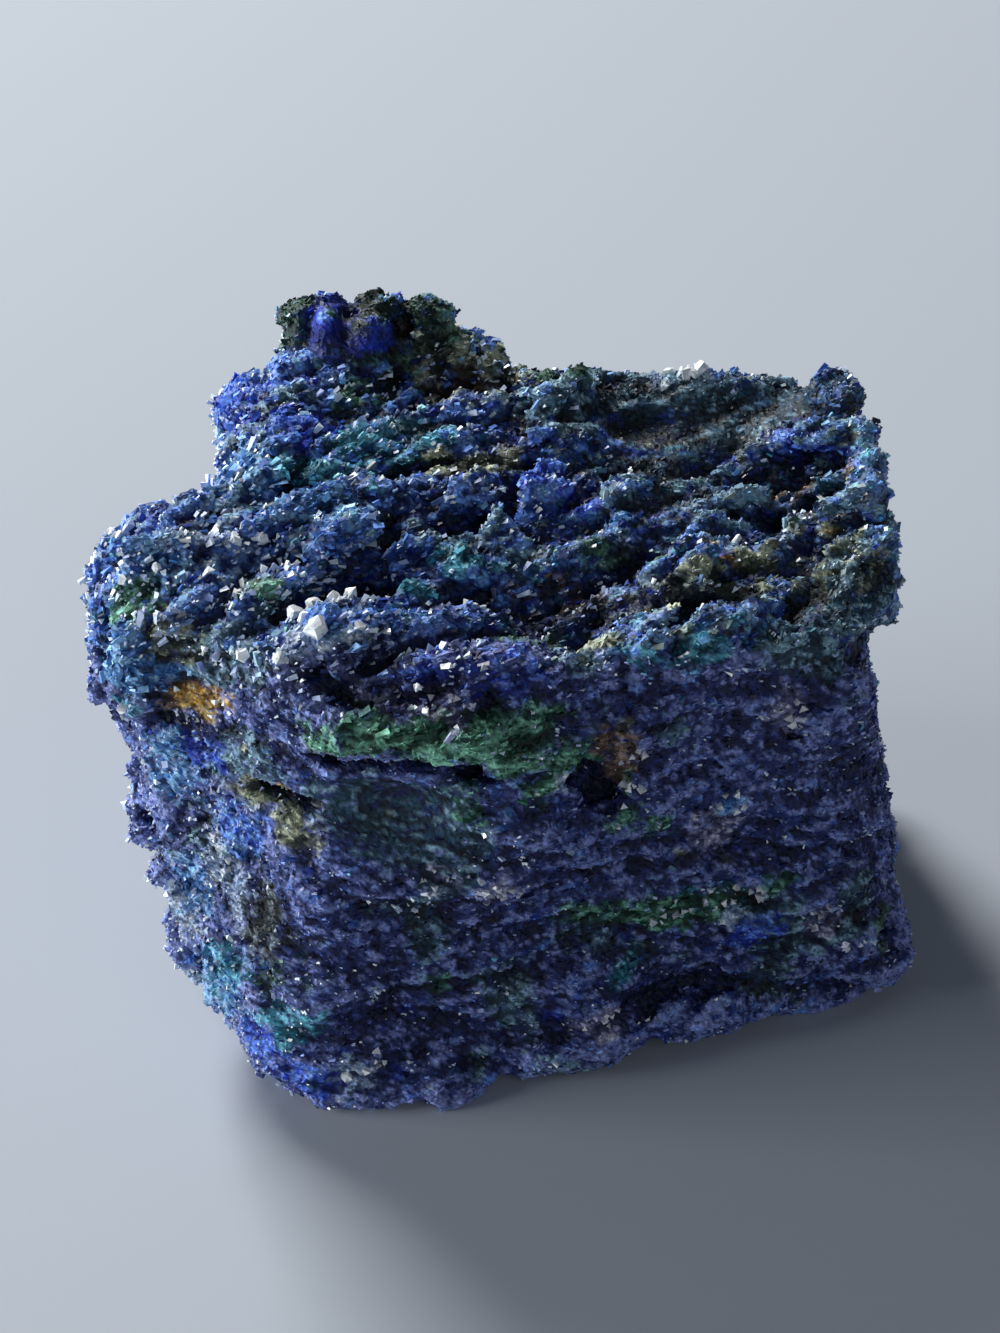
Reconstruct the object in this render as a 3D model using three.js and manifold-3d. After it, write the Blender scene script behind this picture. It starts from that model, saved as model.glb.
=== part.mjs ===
// A hand-sized specimen of massive azurite with malachite, broken from one vein.
//
// It is a single piece of rock: a wedge of a block that stands on a broken face. Its top slopes down
// to the right in ledges that follow the layers of the vein, its front is a steep flat fracture with a
// vug across it, and a horn of botryoidal crust stands up at the back left corner.
//
// Millimetres, +Z up. +X is to the right and the steep fracture faces -Y. The origin is on the
// resting face, under the middle of the block.
import * as THREE from "three";
import { mergeVertices } from "three/addons/utils/BufferGeometryUtils.js";
import Module from "manifold-3d";

// Driving dimensions: the box that the surface is laid out from, and the height of its middle.
const WIDTH = 66;
const DEPTH = 48;
const HEIGHT = 50;
const MIDDLE = new THREE.Vector3(1, -2, 24);
const CELL = 2.15; // length of a side of a surface cell
const FOOT_DEPTH = 1.2; // how much of the rounded underside the resting face cuts off

// How far the edges between fractures are worn round, and how softly lumps and hollows run into them.
const EDGE_WEAR = 2.2;
const LUMP_BLEND = 2.4;
const HOLLOW_BLEND = 2.4;

// The fractures that bound the block: a point on each, and the way that it faces.
const FRACTURES = {
  top: { through: [0, -5, 46.8], facing: [0.11, -0.1, 1] },
  front: { through: [0, -23.6, 20], facing: [0.27, -0.96, 0.04] },
  frontRight: { through: [27, -16, 20], facing: [0.72, -0.69, 0.04] },
  frontLeft: { through: [-24, -20, 30], facing: [-0.6, -0.78, 0.16] },
  right: { through: [32.8, 0, 16], facing: [1, 0.05, 0.06] },
  rightUpper: { through: [31.4, 0, 38], facing: [0.95, 0.1, 0.26] },
  back: { through: [4, 22, 20], facing: [0.04, 0.97, 0.24] },
  backRight: { through: [27, 15, 24], facing: [0.7, 0.7, 0.14] },
  left: { through: [-29.5, -8, 30], facing: [-0.97, 0.2, 0.03] },
  backLeft: { through: [-25, 6, 40], facing: [-0.93, 0.34, 0.1] },
  leftFoot: { through: [-27, -14, 8], facing: [-0.84, -0.1, -0.52] },
  frontFoot: { through: [16, -20, 2.6], facing: [0.25, -0.72, -0.64] },
  rightFoot: { through: [34, 0, 4], facing: [0.72, 0, -0.66] },
  backFoot: { through: [0, 24, 3], facing: [0, 0.8, -0.6] },
};

// Rounded lumps that stand out of the block, and hollows that are broken or dissolved out of it:
// the middle of each, and its half lengths.
const LUMPS = {
  horn: { at: [-15, 17, 44], half: [6.4, 5, 8.6] },
  hornShoulder: { at: [-7, 17, 43], half: [6, 4, 6.6] },
  backStep: { at: [-22, 10.5, 41.5], half: [4.5, 5, 5.5] },
  leftShoulder: { at: [-28, -11, 40], half: [5.5, 7.5, 6.5] },
  frontToe: { at: [-11, -23, 3.5], half: [8, 5.5, 4.5] },
  leftBoulder: { at: [-24.5, -14, 15], half: [5.5, 6, 9] },
  backRidge: { at: [15, 15, 42.6], half: [16, 4.5, 4.5] },
  rightKnob: { at: [27.8, 12, 43.6], half: [3.6, 4, 4.6] },
  rightToe: { at: [32, -10, 6], half: [4, 6, 6] },
};
const HOLLOWS = {
  frontVug: { at: [8, -24.5, 30], half: [5.5, 3.4, 4] },
  frontSlot: { at: [-7, -27, 32], half: [10, 3.5, 3.2] },
  topVug: { at: [-13, -14, 50], half: [4.5, 3.5, 4.5] },
  middleGully: { at: [8, -12, 47], half: [10, 2.6, 4] },
  rightRecess: { at: [24, 3, 48.5], half: [8, 4, 4.5] },
  hornPit: { at: [-2, 9, 49], half: [4, 2.5, 3] },
  rightNotch: { at: [33, -14, 33], half: [3, 5, 2.5] },
};

// The layers of the vein dip away from this direction, and stand out as ledges.
const LAYER_NORMAL = new THREE.Vector3(0.42, -0.62, 0.66).normalize();
const LAYER_THICKNESS = 6.2;
const LEDGE_HEIGHT = 1.1;
const LEDGE_SLOPE = 0.65; // the share of a layer over which its ledge rises, before it breaks off
const LAYER_WANDER = { size: 17, share: 0.45 }; // how far a layer strays, in thicknesses
const LEDGE_FADE = { size: 23, least: 0.25, range: 0.5 }; // how unevenly the ledges stand out
const LUMPINESS = [
  { size: 15, height: 1.5 },
  { size: 7, height: 0.9 },
];

// Repeatable noise: a whole-number hash of a lattice point, from -1 to 1, and its smooth blend between them.
function latticeValue(i, j, k) {
  let h = Math.imul(i, 374761393) ^ Math.imul(j, 668265263) ^ Math.imul(k, 1274126177);
  h = Math.imul(h ^ (h >>> 13), 1103515245);
  return (((h ^ (h >>> 16)) >>> 0) / 0xffffffff) * 2 - 1;
}

function noise(p, size) {
  const [x, y, z] = [p.x / size, p.y / size, p.z / size];
  const [i, j, k] = [Math.floor(x), Math.floor(y), Math.floor(z)];
  const [u, v, w] = [x - i, y - j, z - k].map((t) => t * t * (3 - 2 * t));
  let sum = 0;
  for (const [a, b, c] of CORNERS) {
    const share = (a ? u : 1 - u) * (b ? v : 1 - v) * (c ? w : 1 - w);
    sum += share * latticeValue(i + a, j + b, k + c);
  }
  return sum;
}
const CORNERS = [0, 1, 2, 3, 4, 5, 6, 7].map((n) => [n & 1, (n >> 1) & 1, (n >> 2) & 1]);

// The larger, or the smaller, of two distances, rounded over where they are close.
function roundMax(a, b, radius) {
  const h = Math.max(radius - Math.abs(a - b), 0) / radius;
  return Math.max(a, b) + (h * h * radius) / 4;
}

function roundMin(a, b, radius) {
  return -roundMax(-a, -b, radius);
}

const fractures = Object.values(FRACTURES).map(({ through, facing }) => {
  const normal = new THREE.Vector3(...facing).normalize();
  return { normal, reach: normal.dot(new THREE.Vector3(...through)) };
});

function blobDistance(p, { at, half }) {
  const [a, b, c] = [(p.x - at[0]) / half[0], (p.y - at[1]) / half[1], (p.z - at[2]) / half[2]];
  return (Math.hypot(a, b, c) - 1) * Math.min(...half);
}

// Ledges: each layer rises slowly and breaks off short, and the layers fade in and out over the rock.
function ledge(p) {
  const across = LAYER_NORMAL.dot(p) / LAYER_THICKNESS + LAYER_WANDER.share * noise(p, LAYER_WANDER.size);
  const rise = across - Math.floor(across);
  const shape = rise < LEDGE_SLOPE ? rise / LEDGE_SLOPE : (1 - rise) / (1 - LEDGE_SLOPE);
  const strength = LEDGE_FADE.least + LEDGE_FADE.range * (1 + noise(p, LEDGE_FADE.size));
  return LEDGE_HEIGHT * (shape - 0.5) * strength;
}

// Distance from the rock's surface, negative inside it.
function rockDistance(p) {
  let d = -Infinity;
  for (const { normal, reach } of fractures) d = roundMax(d, normal.dot(p) - reach, EDGE_WEAR);
  for (const lump of Object.values(LUMPS)) d = roundMin(d, blobDistance(p, lump), LUMP_BLEND);
  for (const hollow of Object.values(HOLLOWS)) d = roundMax(d, -blobDistance(p, hollow), HOLLOW_BLEND);
  d -= ledge(p);
  for (const { size, height } of LUMPINESS) d -= height * noise(p, size);
  return d;
}

// The rock's outermost point on the line from the middle through a point of the laying-out box.
const STEP = 0.4;
const HALVINGS = 8;
function onSurface(start) {
  const out = start.clone().normalize();
  const at = (t) => out.clone().multiplyScalar(t).add(MIDDLE);
  let t = WIDTH;
  while (t > STEP && rockDistance(at(t)) > 0) t -= STEP;
  let [inside, outside] = [t, t + STEP];
  for (let n = 0; n < HALVINGS; n++) {
    const half = (inside + outside) / 2;
    if (rockDistance(at(half)) > 0) outside = half;
    else inside = half;
  }
  return at(inside);
}

function asMesh(manifold) {
  const { vertProperties, triVerts } = manifold.getMesh();
  const geometry = new THREE.BufferGeometry();
  geometry.setAttribute("position", new THREE.BufferAttribute(new Float32Array(vertProperties), 3));
  geometry.setIndex(new THREE.BufferAttribute(new Uint32Array(triVerts), 1));
  return geometry;
}

function asManifold(wasm, geometry) {
  geometry.deleteAttribute("normal");
  geometry.deleteAttribute("uv");
  const merged = mergeVertices(geometry, 1e-4);
  const vertProperties = merged.attributes.position.array;
  return new wasm.Manifold(new wasm.Mesh({ numProp: 3, vertProperties, triVerts: merged.index.array }));
}

// The block: a box with its surface cells moved out or in to the rock.
function roughBlock() {
  const cells = [WIDTH, DEPTH, HEIGHT].map((side) => Math.round(side / CELL));
  const box = new THREE.BoxGeometry(WIDTH, DEPTH, HEIGHT, ...cells);
  const place = box.attributes.position;
  for (let n = 0; n < place.count; n++) {
    const p = onSurface(new THREE.Vector3().fromBufferAttribute(place, n));
    place.setXYZ(n, p.x, p.y, p.z);
  }
  return box;
}

// What lies below the resting face, as a box to cut off.
function belowFoot() {
  const slab = new THREE.BoxGeometry(4 * WIDTH, 4 * DEPTH, HEIGHT);
  slab.translate(0, 0, FOOT_DEPTH - HEIGHT / 2);
  return slab;
}

const wasm = await Module();
wasm.setup();
const rock = asMesh(asManifold(wasm, roughBlock()).subtract(asManifold(wasm, belowFoot())));

// The frame's origin: the middle of the resting side of the rock's own box.
rock.computeBoundingBox();
const { min, max } = rock.boundingBox;
rock.translate(-(min.x + max.x) / 2, -(min.y + max.y) / 2, -min.z);
rock.computeVertexNormals();

const azurite = new THREE.MeshStandardMaterial({ color: 0x1c2c66, roughness: 0.6, metalness: 0 });
const specimen = new THREE.Mesh(rock, azurite);
specimen.name = "azurite_specimen";

const group = new THREE.Group();
group.add(specimen);
export default group;
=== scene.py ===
"""A hand specimen of azurite with malachite, in a plain studio.

The block is one rock. Its fine relief is carved into a level set of the CAD solid: the layers of the vein,
lumps, crevices and vugs. Joined meshes of small crystals grow on that relief: azurite, malachite and pale
crystals. Shapes are worked out in millimetres in the part's frame, and turn into metres as meshes are made.
"""

import math

import bpy
import numpy as np
import openvdb
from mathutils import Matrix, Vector


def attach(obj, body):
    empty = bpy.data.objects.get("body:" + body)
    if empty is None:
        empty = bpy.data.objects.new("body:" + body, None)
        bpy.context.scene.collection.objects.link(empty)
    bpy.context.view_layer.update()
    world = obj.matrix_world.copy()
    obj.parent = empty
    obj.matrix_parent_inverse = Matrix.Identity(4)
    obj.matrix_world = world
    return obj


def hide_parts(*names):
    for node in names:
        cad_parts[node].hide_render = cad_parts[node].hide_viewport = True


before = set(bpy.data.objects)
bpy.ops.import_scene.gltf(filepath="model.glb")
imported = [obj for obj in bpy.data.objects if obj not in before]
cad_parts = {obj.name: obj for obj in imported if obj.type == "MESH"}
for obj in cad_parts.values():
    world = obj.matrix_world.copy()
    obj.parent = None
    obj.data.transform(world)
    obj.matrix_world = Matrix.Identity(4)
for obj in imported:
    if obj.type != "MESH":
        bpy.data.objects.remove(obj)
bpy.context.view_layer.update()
NODE = "azurite_specimen"
MM = 0.001

# ---------------- repeatable noise

# The whole number that ends a call of noise, fractal or grains_of is a seed: each pattern has its own.
SLOPE_COUNT = 64
NOISE_GAIN = 1.8  # brings the noise to about -1 to 1
FRACTAL_GAIN = 1.4  # takes its sum of octaves back to that
CHIP_SPREAD = 0.6  # how much higher some chips stand than others, in grain sizes
CORNERS = np.array([[n & 1, n >> 1 & 1, n >> 2 & 1] for n in range(8)])
STEPS = (-1, 0, 1)
NEIGHBOURS = np.array([[i, j, k] for i in STEPS for j in STEPS for k in STEPS])
SLOPES = np.random.default_rng(11).normal(size=(SLOPE_COUNT, 3)).astype(np.float32)
SLOPES /= np.linalg.norm(SLOPES, axis=1)[:, None]


def scramble(cells, seed):
    """A repeatable random whole number for each lattice cell, given as rows of three whole numbers."""
    c = cells.astype(np.uint32)
    h = c[:, 0] * np.uint32(0x9E3779B1) ^ c[:, 1] * np.uint32(0x85EBCA77) ^ c[:, 2] * np.uint32(0xC2B2AE3D)
    h ^= np.uint32(seed * 0x27D4EB2F & 0xFFFFFFFF)
    for shift, factor in ((15, 0x85EBCA6B), (13, 0xC2B2AE35)):
        h = (h ^ (h >> np.uint32(shift))) * np.uint32(factor)
    return h ^ (h >> np.uint32(16))


def noise(p, size, seed):
    """Smooth noise from about -1 to 1 at points p, with features of that size, which may differ by axis."""
    q = p / np.asarray(size, np.float32)
    base = np.floor(q)
    f = (q - base).astype(np.float32)
    base = base.astype(np.int64)
    ease = f * f * f * (f * (f * 6 - 15) + 10)
    total = np.zeros(len(p), np.float32)
    for corner in CORNERS:
        slope = SLOPES[scramble(base + corner, seed) % SLOPE_COUNT]
        share = np.where(corner, ease, 1 - ease).prod(1)
        total += share * ((f - corner) * slope).sum(1)
    return total * NOISE_GAIN


def fractal(p, size, seed, octaves=3):
    """Noise with finer noise added to it, from about -1 to 1."""
    total = sum(noise(p, np.asarray(size) / 2**n, seed + n) / 2**n for n in range(octaves))
    return total / FRACTAL_GAIN


def grains_of(p, size, seed):
    """Scattered grains, each a flat chip with its own tilt. For each point: the distance to the middle of the
    nearest grain, how far its chip stands out there, and its random number. Lengths are in grain sizes."""
    q = (p / np.asarray(size, np.float32)).astype(np.float32)
    base = np.floor(q).astype(np.int64)
    near = np.full(len(p), 9, np.float32)
    away = np.zeros_like(q)
    who = np.zeros(len(p), np.uint32)
    for step in NEIGHBOURS:
        h = scramble(base + step, seed)
        place = np.stack([h & 1023, h >> 10 & 1023, h >> 20 & 1023], 1) / np.float32(1023)
        offset = (base + step + place - q).astype(np.float32)
        d = np.sqrt((offset * offset).sum(1))
        nearer = d < near
        who = np.where(nearer, h, who)
        near = np.where(nearer, d, near)
        away = np.where(nearer[:, None], offset, away)
    luck = (who * np.uint32(2654435761) >> np.uint32(16)) / np.float32(65535)
    tilt = SLOPES[(who >> np.uint32(7)) % SLOPE_COUNT]
    chip = (away * tilt).sum(1) + CHIP_SPREAD * (luck - 0.5)
    return near, chip, luck


def smooth(x, low=0.0, high=1.0):
    """0 below low, 1 above high and an eased rise between them."""
    t = np.clip((x - low) / (high - low), 0, 1)
    return t * t * (3 - 2 * t)


def steps_from(p, at, half):
    """Distance from a place in its own half lengths, so it is 1 all over the ellipsoid that they make."""
    return np.linalg.norm((p - np.array(at, np.float32)) / np.array(half, np.float32), axis=1)


# ---------------- the rock's layers

LAYER_NORMAL = Vector((0.42, -0.62, 0.66)).normalized()
STRIKE = LAYER_NORMAL.cross(Vector((0, 0, 1))).normalized()
DIP = LAYER_NORMAL.cross(STRIKE)
LAYERED = np.array([STRIKE, DIP, LAYER_NORMAL], np.float32)
LAYER = 1.7
LAYER_EDGE = 0.2  # the share of a layer over which it gives way to the next
LAYER_WANDER = 0.9  # how far a layer strays, in layers
LAYER_APART = 97  # how far apart two layers' patterns are taken from the noise


def ledges(q):
    """Layers that stand out or are broken back, each in its own pattern. q is in the layers' own axes."""
    across = q[:, 2] / LAYER + LAYER_WANDER * noise(q, (13, 9, 7), 21)
    layer = np.floor(across)
    blend = smooth(across - layer, 1 - LAYER_EDGE, 1)
    levels = [LAYER_APART * (layer + n) + 31 for n in (0, 1)]
    here, above = (noise(np.stack([q[:, 0], q[:, 1], level], 1), (11, 4.5, 61), 22) for level in levels)
    return here + (above - here) * blend


def crevices(q):
    """Narrow deep clefts along the layers, from 0 to 1."""
    line = 1 - np.abs(fractal(q, (11, 6, 3.2), 31, 2)) * 3.2
    return smooth(line, 0.5, 0.95) * smooth(noise(q, (14, 9, 7), 37), -0.2, 0.25)


# Vugs and broken hollows: the middle, the half lengths, and how far each is turned about Z, in degrees.
HOLLOWS = [
    ((-13.2, -10.4, 43.6), (3.6, 2.2, 4.2), 15),
    ((-3.4, 13.4, 45.6), (4.2, 2, 3.2), 10),
    ((-10.4, -5, 45.6), (1.8, 1.3, 3), 30),
    ((-11.4, -23, 36.3), (4.2, 4.4, 0.95), 6),
    ((-5.4, -22.6, 35.6), (3, 3.6, 0.9), -14),
    ((-2, -22.4, 33.2), (3.2, 3.4, 0.8), 10),
    ((5.2, -20.6, 31.8), (1.9, 4.6, 1.8), 15),
    ((6.6, -20.2, 28.8), (1.9, 4.6, 1.7), 15),
    ((-4.2, -22.8, 34), (1.9, 3.2, 0.8), 0),
    ((1.4, -22.4, 37.2), (2.8, 2.2, 0.7), 12),
    ((-25.2, -18.8, 36), (2.2, 1.5, 0.6), -20),
    ((-18.6, -21.8, 31), (3.6, 2.4, 1), -20),
    ((23, 6, 42.4), (5.2, 1.5, 2.4), 8),
    ((20, 1.4, 42.6), (5.6, 0.9, 2), 10),
    ((10.6, 10.2, 45.2), (4.2, 2.2, 2), 15),
    ((0.4, -12.6, 42.6), (5.2, 1.4, 3), 36),
    ((6.4, -13.8, 42.4), (4.4, 1.2, 2.6), 25),
    ((13.6, -11, 42.4), (5.4, 0.9, 2.4), 18),
    ((6.4, -7.4, 42.6), (6, 1.2, 2.8), 28),
    ((-3.6, -3, 44.4), (4.6, 1.1, 2.4), 34),
    ((-9.6, 2, 45), (4, 0.9, 2.2), 30),
    ((-27.4, -18.2, 35.4), (3.2, 1.8, 1), -30),
]
# Lumps that stand out: knobs of crust on the horn, nodules and short ledges.
LUMPS = [
    ((-18.4, 17.6, 49.4), (1.8, 1.8, 1.8), 0),
    ((-16, 17.9, 50), (2.8, 1.6, 1.7), 0),
    ((-22.8, 11.8, 45.2), (3, 3, 2.2), 0),
    ((-10.4, 18.2, 48.4), (2.2, 1.6, 2), 0),
    ((-18.2, 17, 47.2), (2.1, 2.6, 3), 0),
    ((-12.6, 17.8, 50.9), (2.7, 1.5, 1.3), 0),
    ((-12.6, 15.6, 49.9), (2, 2, 2), 0),
    ((-16.1, 15.6, 50.2), (1.3, 1.5, 2), 0),
    ((-7.9, 18.2, 50.1), (2.5, 1.8, 1.6), 0),
    ((-11.4, -22.8, 39.6), (4.6, 1.8, 1.2), 8),
    ((-4.6, -22.8, 38.8), (4.2, 1.9, 1.9), 12),
    ((26, 12.4, 45.4), (2.4, 2.4, 2.4), 0),
    ((25.6, 8, 45), (4.4, 1.5, 1.3), 5),
    ((-15.1, -18.2, 45.6), (1.6, 1.6, 1), 0),
    ((28.2, 6, 43.4), (1.8, 2.2, 1.9), 0),
    ((-31.6, -5, 41.2), (2.6, 4, 2.7), -10),
    ((-29.2, -2.4, 42.2), (3, 3.4, 2.4), 0),
    ((5, -19.8, 2.6), (7.4, 2.8, 2.4), 18),
    ((17, -15.8, 2.8), (8, 2.8, 2.6), 22),
]
# Corners broken out of the block. Each is what lies beyond all of its planes, which are given by a point on
# each and the way that it faces.
BREAKS = [
    [((-19.8, 17, 48), (-1, 0.1, 0)), ((-24, 14, 44.6), (0, 0.64, 0.77))],
    [((8, 19, 43.2), (0, 0.64, 0.77)), ((-1, 19, 44), (0.95, 0, 0.3))],
    [((29.3, 5, 45), (0.95, 0.3, 0.08)), ((0, 0, 38), (0, 0, 1))],
    [((26.8, -11, 37), (0.97, 0, 0.20)), ((30, -10, 38.4), (-0.1, -0.5, -0.86))],
    [
        ((29.8, -8, 38), (1, -0.1, 0)),
        ((30, -8, 41.4), (0.3, 0, -1)),
        ((30, -8, 37), (0, 0, 1)),
    ],
    [((27.8, -8, 38.6), (0.79, -0.46, -0.40)), ((30, -8, 36.8), (0, 0, 1))],
    [
        ((-10, -19.2, 45), (0.06, -1, 0.6)),
        ((-10, -20, 41.2), (0, 0.1, 1)),
        ((-19, -20, 42), (1, 0, 0)),
        ((3, -20, 42), (-1, 0, 0)),
    ],
    [
        ((-5.5, 18, 49.4), (0.58, 0.64, 0.77)),
        ((-7, 18, 48), (1, 0, 0)),
        ((1.6, 18, 45), (-1, 0, 0)),
    ],
    [((-33.8, -12, 38), (-1, 0, 0)), ((-34, -12, 41.6), (0, 0, -1))],
    [((-19.4, -24.2, 1), (-0.62, -0.72, -0.3))],
    [
        ((19.6, 14, 46), (0, 0, 1)),
        ((17.4, 14, 46), (1, 0, 0)),
        ((23.6, 14, 46), (-1, 0, 0)),
    ],
]
INSET = 0.8  # how far the worn surface lies inside the CAD solid, in millimetres


def ellipsoid(p, at, half, turn):
    """Distance from an ellipsoid's surface, roughly, and negative inside it."""
    c, s = math.cos(math.radians(turn)), math.sin(math.radians(turn))
    d = p - np.array(at, np.float32)
    local = np.stack([c * d[:, 0] + s * d[:, 1], c * d[:, 1] - s * d[:, 0], d[:, 2]], 1)
    return (np.linalg.norm(local / np.array(half, np.float32), axis=1) - 1) * min(half)


def beyond(p, planes):
    """How far each point is beyond all of the planes, and negative short of any of them."""
    depths = []
    for through, facing in planes:
        facing = np.array(facing, np.float32)
        depths.append((p - np.array(through, np.float32)) @ (facing / np.linalg.norm(facing)))
    return np.min(depths, 0)


# Where the crust is smooth, without chips and small crystals: the middle and half lengths of each place.
SMOOTH_PLACES = [
    ((-12.6, 14.8, 49.6), (2.6, 2.6, 2.4)),
    ((-16.1, 14.8, 50.2), (1.9, 2.4, 2.6)),
    ((-9.8, -21.4, 29), (6, 3, 4.4)),
    ((-14, -21.6, 32.4), (3.4, 3, 2.2)),
    ((13, 10, 44.6), (7, 3.6, 2.4)),
    ((22, 13, 44.6), (4, 2.6, 2.4)),
]


def smoothness(p):
    """How smooth the crust is, from 0 to 1."""
    most = np.zeros(len(p), np.float32)
    for at, half in SMOOTH_PLACES:
        most = np.maximum(most, smooth(1.3 - steps_from(p, at, half), 0, 0.6))
    return most


def roughness(p):
    """How granular the crust is: most on the left of the top, and least on the front."""
    left = smooth(2 - p[:, 0] + 5 * noise(p, 9.0, 48), 0, 12)
    far_left = smooth(-18 - p[:, 0] + 3 * noise(p, 9.0, 48), 0, 8)
    high = smooth(p[:, 2] - 40.5 + 4 * noise(p, 7.0, 49), -2, 2)
    rough = 0.3 + 0.4 * high + 0.45 * high * left + 0.4 * (1 - high) * far_left
    return rough * (1 - 0.85 * smoothness(p)) * (1 - 0.5 * smooth(p[:, 2], 47.5, 49.5))


# Heights of the relief's parts, in millimetres: five of the coarse relief, and then four of the fine one.
LEDGE_HEIGHT = 2.2
LUMP_HEIGHT = 0.7
RIPPLE_HEIGHT = 0.5
CHIP_HEIGHT = 0.5
CREVICE_DEPTH = 3.4
STREAK_HEIGHT = 0.5
WRINKLE_HEIGHT = 0.15
SMALL_CHIP_HEIGHT = 0.28
GRANULE_HEIGHT = 0.3
# Sizes along the strike, down the dip and across the layers.
RIPPLE = (8, 3, 1.9)
CHIP = (6.0, 3.2, 1.9)
STREAK = (5.0, 1.7, 0.8)
WRINKLE = (2.0, 0.9, 0.6)
SMALL_CHIP = (3.2, 1.6, 1.2)
SMALLEST_CHIP = (1.7, 0.9, 0.8)


def coarse_relief(p, normal):
    """How far the rock's ledges, lumps, chips and clefts stand out from the CAD solid, in millimetres."""
    q = p @ LAYERED.T
    top = smooth(normal[:, 2], 0.3, 0.75)
    front = smooth(-normal[:, 1], 0.4, 0.8) * (1 - top)
    strong = 1 - 0.72 * front
    height = LEDGE_HEIGHT * strong * ledges(q)
    height += strong * (LUMP_HEIGHT * noise(p, 7.0, 42) + RIPPLE_HEIGHT * noise(q, RIPPLE, 43))
    height += CHIP_HEIGHT * (1 - 0.45 * front) * grains_of(q, CHIP, 41)[1]
    height -= CREVICE_DEPTH * crevices(q) * np.maximum(top, 0.35 * (1 - front))
    return height * (1 - 0.7 * smoothness(p)) - INSET * smooth(p[:, 2], 0.5, 3.0)


def fine_relief(p, normal):
    """How far small chips, granules and layers stand out, in millimetres."""
    q = p @ LAYERED.T
    strong = 1 - 0.6 * smooth(-normal[:, 1], 0.4, 0.8)
    rough = roughness(p)
    height = strong * (STREAK_HEIGHT * noise(q, STREAK, 44) + WRINKLE_HEIGHT * noise(q, WRINKLE, 47))
    height += SMALL_CHIP_HEIGHT * grains_of(q, SMALL_CHIP, 40)[1]
    near, chip, _ = grains_of(q, SMALLEST_CHIP, 46)
    height += (0.08 + 0.2 * rough) * chip + GRANULE_HEIGHT * rough * (0.45 - near)
    return height * (1 - 0.9 * smoothness(p))


# ---------------- the rock's surface

COARSE, FINE = 0.6, 0.34  # sides of a cell, in millimetres
COARSE_REACH = 4.8, 9.0  # how far outside and inside the surface distances are worked out, in millimetres
FINE_REACH = 2.4, 2.4
MARGIN = 12  # empty cells on each side of the rock
# How often neighbouring cells are averaged: to round off the CAD solid's facets, and to find what is close to
# a point and what is less close.
FACET_SOFTENING = 6
CLOSE_SOFTENING = 8
WIDE_SOFTENING = 10
RAGGEDNESS = 0.7  # how ragged the edges of breaks, lumps and hollows are, in millimetres


def level_set(points, triangles, cell, reach_out, reach_in):
    """A closed surface as a 3-D array of distances, and the lattice place of the array's first cell."""
    grid = openvdb.FloatGrid.createLevelSetFromPolygons(
        np.ascontiguousarray(points, np.float32),
        triangles=np.ascontiguousarray(triangles, np.uint32),
        transform=openvdb.createLinearTransform(cell),
        exBandWidth=reach_out / cell,
        inBandWidth=reach_in / cell,
    )
    first = np.floor(points.min(0) / cell).astype(int) - MARGIN
    last = np.ceil(points.max(0) / cell).astype(int) + MARGIN
    distance = np.empty(last - first, np.float32)
    grid.copyToArray(distance, ijk=tuple(int(n) for n in first))
    return distance, first


def surface(distance, first, cell):
    """The surface of an array of distances as points and triangles, in millimetres."""
    grid = openvdb.FloatGrid(float(distance.max()))
    grid.transform = openvdb.createLinearTransform(cell)
    grid.copyFromArray(distance, ijk=tuple(int(n) for n in first))
    points, triangles, quads = grid.convertToPolygons(0.0, 0.0)
    halves = np.concatenate([quads[:, [0, 1, 2]], quads[:, [0, 2, 3]]])
    faces = np.concatenate([triangles.reshape(-1, 3), halves])[:, ::-1]
    return points, faces.astype(np.int64)


def soften(distance, times):
    """Averages each cell with its neighbours, that many times."""
    for _ in range(times):
        for axis in range(3):
            distance = (np.roll(distance, 1, axis) + 2 * distance + np.roll(distance, -1, axis)) / 4
    return distance


def touching(mask, start):
    """The cells of mask that connect to start through cells of mask."""
    reached = start & mask
    count = 0
    while reached.sum() != count:
        count = reached.sum()
        for _ in range(4):
            for axis in range(3):
                reached = reached | np.roll(reached, 1, axis) | np.roll(reached, -1, axis)
                reached &= mask
    return reached


def band_of(distance, first, cell, reach_out, reach_in):
    """The cells near the surface, their places in millimetres, and which way the surface faces there."""
    band = (distance > cell - reach_in) & (distance < reach_out - cell)
    slope = [np.gradient(distance, axis=axis)[band] for axis in range(3)]
    normal = np.stack(slope, 1)
    normal /= np.linalg.norm(normal, axis=1)[:, None] + 1e-6
    return band, ((np.argwhere(band) + first) * cell).astype(np.float32), normal


def one_piece(carved, distance, cell, reach_out, reach_in):
    """Takes away what hangs free of the rock, and fills what is closed inside it."""
    rock = touching(carved < 0, distance < 2 * cell - reach_in)
    carved[(carved < 0) & ~rock] = cell
    outside = touching(carved >= 0, distance > reach_out - 2 * cell)
    carved[(carved >= 0) & ~outside] = -cell
    return carved


def cad_surface(solid):
    """The CAD solid's points, in millimetres, and triangles."""
    mesh = solid.data
    mesh.calc_loop_triangles()
    points = np.empty(len(mesh.vertices) * 3, np.float32)
    mesh.vertices.foreach_get("co", points)
    triangles = np.empty(len(mesh.loop_triangles) * 3, np.int32)
    mesh.loop_triangles.foreach_get("vertices", triangles)
    return points.reshape(-1, 3) / MM, triangles.reshape(-1, 3)


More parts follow.
